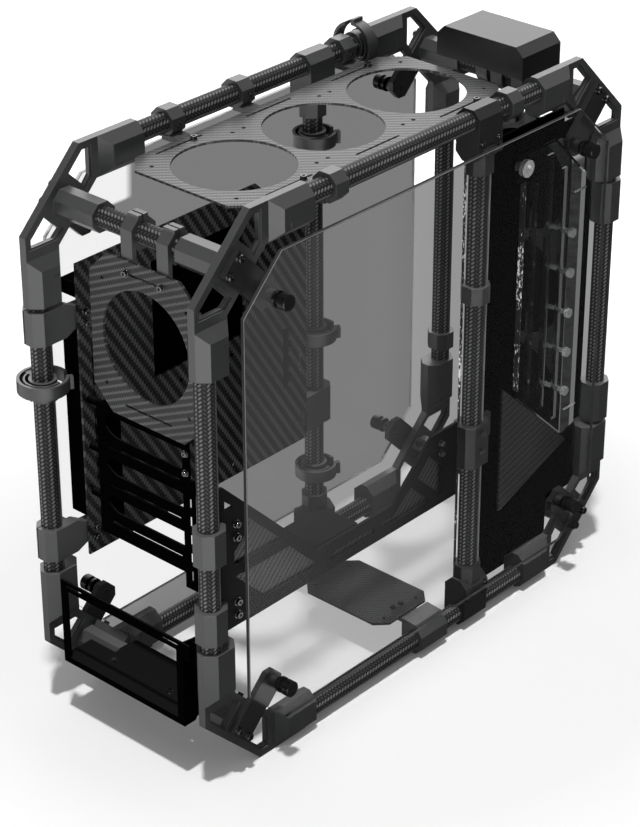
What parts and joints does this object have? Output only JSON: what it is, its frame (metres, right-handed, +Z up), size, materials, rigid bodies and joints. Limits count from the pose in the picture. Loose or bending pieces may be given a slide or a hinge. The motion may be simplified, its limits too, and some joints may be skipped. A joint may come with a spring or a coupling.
{
  "type": "open air test bench",
  "caption": "Open carbon tube test bench with moulded corners, smoked glass sides, board tray, slot bracket and fan plates.",
  "frame": {"origin": "middle of the bounding box on the floor plane", "axes": "+Z up, -Y towards the short front face with the fan plate and slot bracket, +X towards the glass side nearer the viewer"},
  "size_m": [0.282, 0.619, 0.5888],
  "materials": {
    "moulded": "matte moulded plastic, dark grey",
    "carbon": "braided carbon fibre tube, clear-coated",
    "carbon_plate": "woven carbon fibre sheet, satin",
    "black_panel": "satin black sheet",
    "black_metal": "black powder-coated sheet steel",
    "smoked_glass": "smoked tempered glass, clear and glossy",
    "clear_block": "clear machined block",
    "chrome": "polished chrome",
    "knob": "gloss black anodised knob",
    "screw_steel": "polished steel"
  },
  "bodies": {
    "root": {"back_cover": "black_panel", "board_tray": "carbon_plate", "box_cover": "black_panel", "bracket_far_front_bottom": "moulded", "bracket_far_front_top": "moulded", "bracket_far_rear_bottom": "moulded", "bracket_far_rear_top": "moulded", "bracket_near_front_bottom": "moulded", "bracket_near_front_top": "moulded", "bracket_near_rear_bottom": "moulded", "bracket_near_rear_top": "moulded", "cable_rings": "moulded", "clamp_far_middle": "moulded", "clamp_near_middle": "moulded", "cross_tube_front_bottom": "carbon", "cross_tube_front_top": "carbon", "cross_tube_rear_bottom": "carbon", "cross_tube_rear_top": "carbon", "distribution_plate": "clear_block", "far_front_clamps": "moulded", "far_shelf": "black_panel", "far_shelf_clamp": "moulded", "front_fan_plate": "carbon_plate", "glass_far": "smoked_glass", "glass_near": "smoked_glass", "hangers": "moulded", "holder_arms": "moulded", "near_upright_clamps": "moulded", "plate_bolts": "chrome", "port_plug": "chrome", "psu_frame": "black_metal", "pump_clamp": "moulded", "pump_plate": "carbon_plate", "rear_corner_panel": "carbon_plate", "rear_cover": "black_panel", "rear_fan_plate": "carbon_plate", "rear_filter": "black_panel", "screws": "screw_steel", "side_skirt": "black_panel", "skirt_inlays": "carbon_plate", "slot_bracket": "black_metal", "tee_far_bottom": "moulded", "tee_far_top": "moulded", "tee_near_bottom": "moulded", "tee_near_top": "moulded", "thumb_knobs": "knob", "top_fan_plate": "carbon_plate", "top_plate_clamps": "moulded", "tube_carriers": "moulded", "tube_collars": "moulded", "tube_far_bottom": "carbon", "tube_far_top": "carbon", "tube_near_bottom": "carbon", "tube_near_top": "carbon", "upright_far_front": "carbon", "upright_far_middle": "carbon", "upright_far_rear": "carbon", "upright_near_front": "carbon", "upright_near_middle": "carbon", "upright_near_rear": "carbon"}
  },
  "joints": []
}
